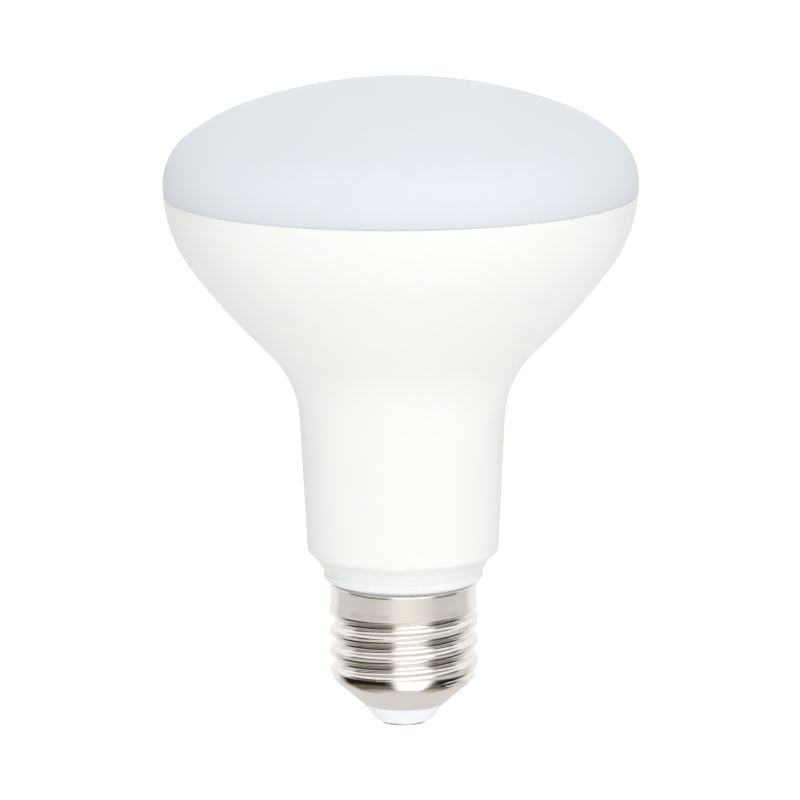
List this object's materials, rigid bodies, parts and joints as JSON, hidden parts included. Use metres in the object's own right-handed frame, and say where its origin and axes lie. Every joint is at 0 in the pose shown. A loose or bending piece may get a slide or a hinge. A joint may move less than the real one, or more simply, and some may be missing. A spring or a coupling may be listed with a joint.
{
  "type": "reflector bulb",
  "caption": "Reflector lamp with a domed opal front, a white flared housing that narrows to a neck, and an E27 screw cap.",
  "frame": {"origin": "on the axis, on the lowest face of the centre contact, where it meets the lampholder", "axes": "+Z along the axis from the cap to the dome; X and Y are square to it, and the picture looks along +Y"},
  "size_m": [0.082, 0.082, 0.1133],
  "materials": {
    "opal_plastic": "opal, satin",
    "white_plastic": "satin, warm white",
    "cool_white_plastic": "satin, cool white",
    "nickel_plate": "nickel-plated, polished",
    "insulator_plastic": "smooth, bluish white",
    "contact_metal": "plain"
  },
  "bodies": {
    "root": {"diffuser": "opal_plastic", "housing": "white_plastic", "base_sleeve": "cool_white_plastic", "screw_shell": "nickel_plate", "insulator": "insulator_plastic", "centre_contact": "contact_metal"}
  },
  "joints": []
}
